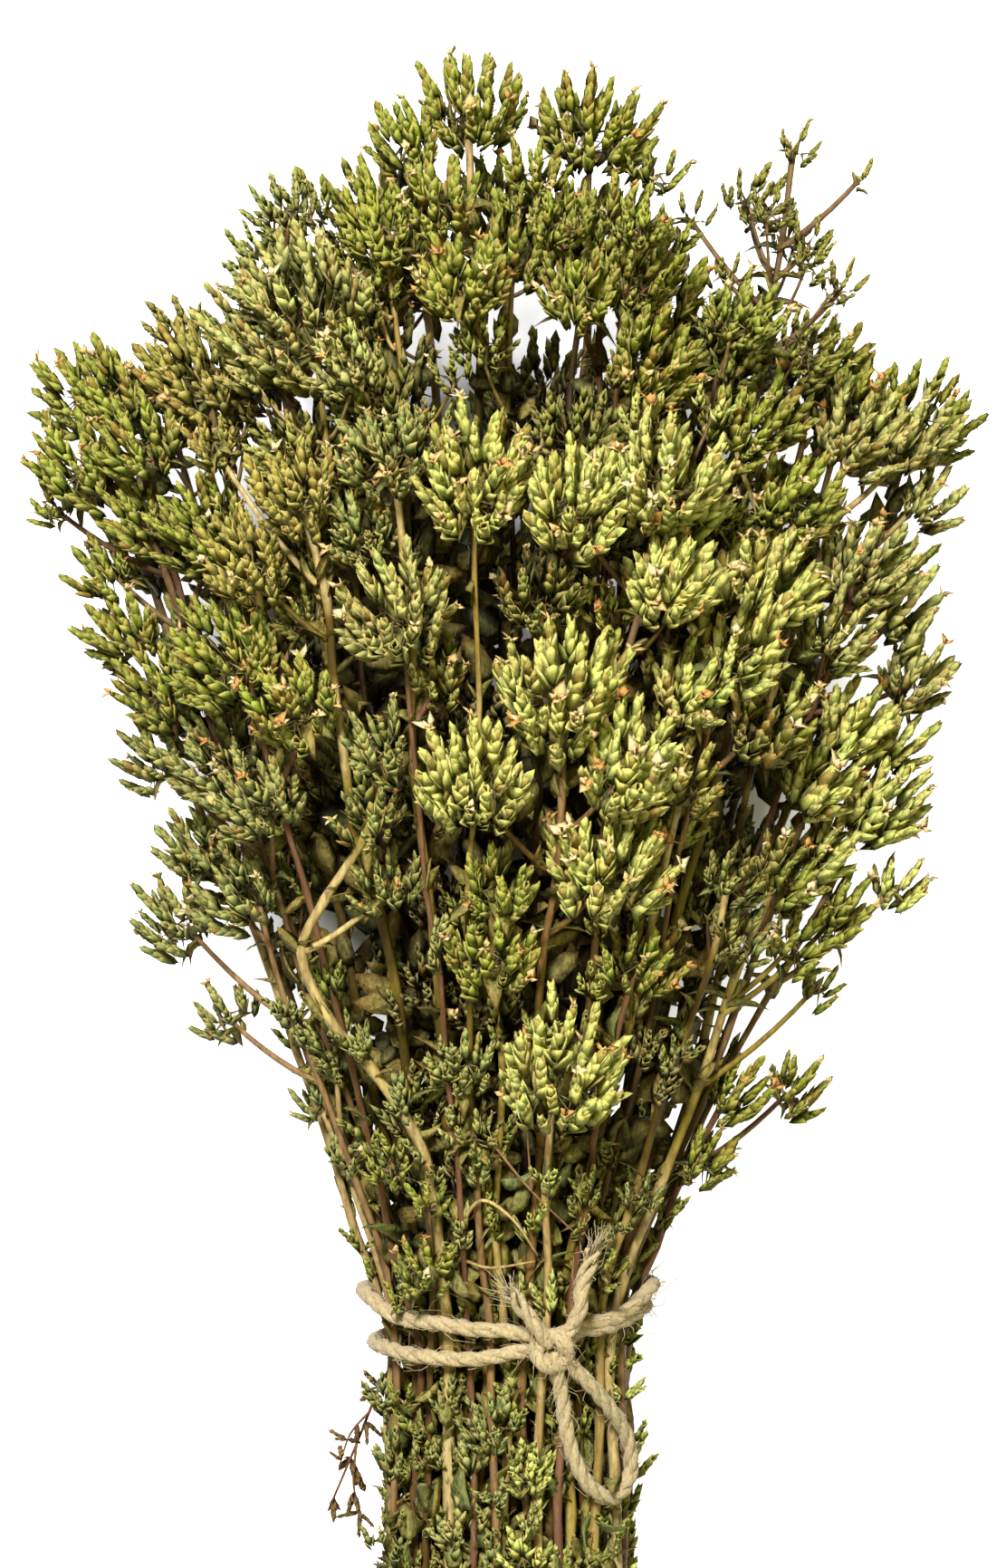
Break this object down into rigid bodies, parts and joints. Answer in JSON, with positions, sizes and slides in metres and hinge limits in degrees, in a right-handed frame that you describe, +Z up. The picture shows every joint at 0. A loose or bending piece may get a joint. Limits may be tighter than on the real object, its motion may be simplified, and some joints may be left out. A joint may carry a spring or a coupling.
{
  "type": "dried oregano bunch",
  "caption": "Bunch of dried flowering oregano stems, tied at the neck with jute twine and lying on its side, with heads at one end and cut stem ends at the other.",
  "frame": {"origin": "on the table, under the middle of the lying bunch", "axes": "+Y along the bunch towards the flower heads, +X to the right of the tie seen from above, +Z up from the table, which is the side the picture shows"},
  "size_m": [0.164, 0.3016, 0.0924],
  "materials": {
    "herb_bright": "dry pale yellow-green flower heads, matt",
    "herb_pale": "dry straw-coloured flower heads, matt",
    "herb_green": "dry mid-green flower heads, matt",
    "herb_grey": "dry grey-green flower heads and leaves, downy",
    "herb_olive": "dry olive flower heads, matt",
    "herb_brown": "dry brownish flower heads, matt",
    "herb_dark": "dry dark green flower heads, matt",
    "herb_grass": "thin loose sprig, matt",
    "twine_jute": "three-ply jute twine, hairy and matt"
  },
  "bodies": {
    "root": {"stem_01": "herb_green", "stem_02": "herb_olive", "stem_03": "herb_olive", "stem_04": "herb_green", "stem_05": "herb_green", "stem_06": "herb_olive", "stem_07": "herb_green", "stem_08": "herb_grass", "stem_09": "herb_olive", "stem_10": "herb_pale", "stem_11": "herb_brown", "stem_12": "herb_green", "stem_13": "herb_green", "stem_14": "herb_dark", "stem_15": "herb_brown", "stem_16": "herb_green", "stem_17": "herb_green", "stem_18": "herb_grey", "stem_19": "herb_grey", "stem_20": "herb_grey", "stem_21": "herb_bright", "stem_22": "herb_pale", "stem_23": "herb_bright", "stem_24": "herb_bright", "stem_25": "herb_green", "stem_26": "herb_bright", "stem_27": "herb_green", "stem_28": "herb_grey", "stem_29": "herb_bright", "stem_30": "herb_green", "stem_31": "herb_pale", "stem_32": "herb_pale", "stem_33": "herb_bright", "stem_34": "herb_bright", "stem_35": "herb_green", "stem_36": "herb_grey", "stem_37": "herb_olive", "stem_38": "herb_green", "stem_39": "herb_grey", "stem_40": "herb_brown", "stem_41": "herb_grey", "stem_42": "herb_dark", "stem_43": "herb_green", "stem_44": "herb_olive", "stem_45": "herb_grey", "stem_46": "herb_green", "stem_47": "herb_olive", "stem_48": "herb_grey", "stem_49": "herb_green", "stem_50": "herb_olive", "stem_51": "herb_olive", "stem_52": "herb_grey", "stem_53": "herb_green", "stem_54": "herb_olive", "stem_55": "herb_grey", "stem_56": "herb_green", "stem_57": "herb_olive", "twine": "twine_jute"}
  },
  "joints": []
}
